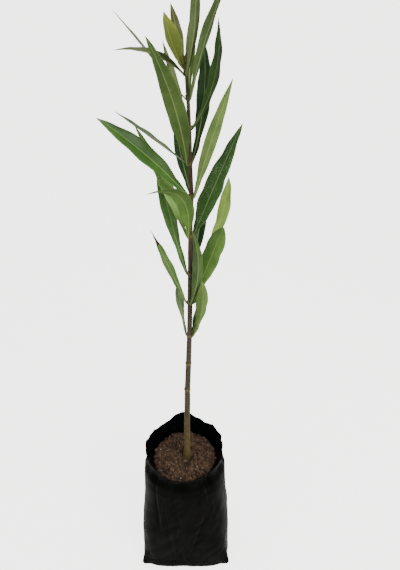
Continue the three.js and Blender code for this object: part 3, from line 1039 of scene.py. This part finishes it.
def soil_finish(name, dark, mid, light, specks):
    """Three browns by noise, pale specks by cells, and painted shade, nearly black, in the trench out
    at the film.
    """
    mix = Recipe(name)
    broad = mix.noise(130.0, 4.0, 0.6)
    fine = mix.noise(700.0, 4.0, 0.65)
    cells = mix.add("TexVoronoi", Vector=mix.place, Scale=430.0)
    near = mix.span(cells.outputs["Distance"], 0.12, 0.3, 1.0, 0.0)
    pick = mix.add("SeparateXYZ", Vector=cells.outputs["Color"]).outputs[0]
    flat = mix.squeezed(0)
    off_middle = mix.add("VectorMath", {"operation": "LENGTH"}, Vector=flat).outputs["Value"]
    colour = mix.coats(
        rgb(dark),
        (mix.span(broad, 0.35, 0.65), mid),
        (mix.span(fine, 0.5, 0.75), light),
        (mix.times(near, mix.span(pick, 1 - specks, 1.02 - specks)), "9a8262"),
        # painted shade: the trench between the soil and the film is painted nearly black
        (mix.span(off_middle, SOIL_REACH, SOIL_REACH + 4 * MM, 0.0, 0.85), "0b0806"))
    return mix.finish(colour, 0.92, fine, strength=0.5, distance=0.5 * MM)


soil_skin = soil_finish("coir", "1e1511", "47362b", "7a614f", 0.18)
soil_piece = tube_piece("soil_mound", soil_surface(), [soil_skin])
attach(soil_piece, "root")
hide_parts("soil")
print("soil", len(soil_piece.data.polygons), "faces")

# %% Crumbs, fibres and grains
FIBRE_REACH = 44 * MM
GOLD = (1 + 5**0.5) / 2
CORNERS = np.array([[-1, GOLD, 0], [1, GOLD, 0], [-1, -GOLD, 0], [1, -GOLD, 0]])
BALL = unit(np.concatenate([np.roll(CORNERS, step, axis=1) for step in range(3)]))
BALL_FACES = np.array([[0, 11, 5], [0, 5, 1], [0, 1, 7], [0, 7, 10], [0, 10, 11],
                       [1, 5, 9], [5, 11, 4], [11, 10, 2], [10, 7, 6], [7, 1, 8],
                       [3, 9, 4], [3, 4, 2], [3, 2, 6], [3, 6, 8], [3, 8, 9],
                       [4, 9, 5], [2, 4, 11], [6, 2, 10], [8, 6, 7], [9, 8, 1]])


def turns(rng, count):
    """Random rotations: the orthogonal part of random matrices, made right-handed."""
    matrices = np.linalg.qr(rng.normal(size=(count, 3, 3)))[0]
    matrices[:, :, 0] *= np.sign(np.linalg.det(matrices))[:, None]
    return matrices


def on_soil(rng, count, reach=1.02):
    """Random places on the mound, even over its area and kept inside the film."""
    angle = rng.uniform(0, 2 * np.pi, count)
    wall = film_radius(angle, SOIL_EDGE) - 3 * MM
    radius = np.minimum(SOIL_REACH * reach * np.sqrt(rng.uniform(0.0, 1, count)), wall)
    return on_mound(angle, radius)


def crumbs(name, count, small, large, seed, material, sink=0.25):
    """Faceted balls: radius between small and large, more of them small, each one squashed."""
    rng = np.random.default_rng(seed)
    radius = small + (large - small) * rng.uniform(0, 1, count) ** 3
    squash = rng.uniform(0.55, 1.15, (count, 1, 3))
    rough = 1 + rng.normal(0, 0.13, (count, len(BALL), 1))
    shape = np.einsum("vi,nij->nvj", BALL, turns(rng, count)) * squash * rough
    place = on_soil(rng, count)
    place[:, 2] += radius * sink
    return copies_piece(name, place[:, None] + shape * radius[:, None, None], BALL_FACES, material)


def fibres(name, count, seed, material, steps=5, sides=3):
    """Thin three-sided threads: a start, a heading that turns steadily, and a thin taper."""
    rng = np.random.default_rng(seed)
    start = on_soil(rng, count, 0.86)
    heading = rng.uniform(0, 2 * np.pi, count)
    bend = rng.normal(0, 1.1, count)
    length = rng.uniform(2.5, 9.0, count) * MM
    t = np.linspace(0, 1, steps)
    way = heading[:, None] + bend[:, None] * t
    step = length[:, None] / steps
    x = start[:, :1] + np.cumsum(np.cos(way) * step, 1)
    y = start[:, 1:2] + np.cumsum(np.sin(way) * step, 1)
    inside = np.minimum(1, FIBRE_REACH / np.maximum(np.hypot(x, y), 1e-6))
    x, y = x * inside, y * inside
    tilt = rng.normal(0, 0.14, count)[:, None] * length[:, None] * (t - 0.3)
    z = soil_height(x, y) + 0.35 * MM + np.abs(tilt) + 0.5 * MM * np.sin(np.pi * t)
    spine = np.stack([x, y, z], -1)
    ahead = unit(np.gradient(spine, axis=1))
    side = unit(np.cross(ahead, [0, 0, 1.0]))
    up = np.cross(side, ahead)
    turn = circle(sides)
    thick = rng.uniform(0.10, 0.24, count)[:, None, None, None] * MM
    ring = side[:, :, None] * np.cos(turn)[:, None] + up[:, :, None] * np.sin(turn)[:, None]
    thin = (1 - 0.6 * np.abs(2 * t - 1) ** 3)[None, :, None, None]
    points = (spine[:, :, None] + ring * thick * thin).reshape(count, -1, 3)
    last = (steps - 1) * sides
    caps = np.array([[0, 2, 1], [last, last + 1, last + 2]])
    triangles = np.concatenate([halved(tube_faces(steps, sides)), caps])
    # side, up and ahead are left-handed here, so the corners are listed the other way round
    return copies_piece(name, points, triangles[:, ::-1], material)


crumb_dark = soil_finish("crumb_dark", "241a15", "3a2b23", "5a4638", 0.05)
crumb_mid = soil_finish("crumb_brown", "3c2d24", "584436", "77614e", 0.1)
crumb_tan = soil_finish("crumb_tan", "5c4733", "7a6248", "9c8465", 0.2)
fibre_skin = soil_finish("fibre", "4a3625", "654d37", "8c7250", 0.0)
grain_skin = soil_finish("pale_grain", "9c9280", "b8af9c", "cfc8b8", 0.0)
for piece in (crumbs("crumbs_dark", 900, 0.7 * MM, 2.6 * MM, 61, crumb_dark),
              crumbs("crumbs_brown", 1100, 0.6 * MM, 2.3 * MM, 62, crumb_mid),
              crumbs("crumbs_tan", 260, 0.45 * MM, 1.5 * MM, 63, crumb_tan, 0.5),
              crumbs("clods", 44, 2.2 * MM, 4.4 * MM, 64, crumb_mid, 0.1),
              crumbs("pale_grains", 46, 0.4 * MM, 0.95 * MM, 65, grain_skin, 0.7),
              fibres("fibres", 620, 66, fibre_skin)):
    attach(piece, "root")
print("loose pieces on the mound")
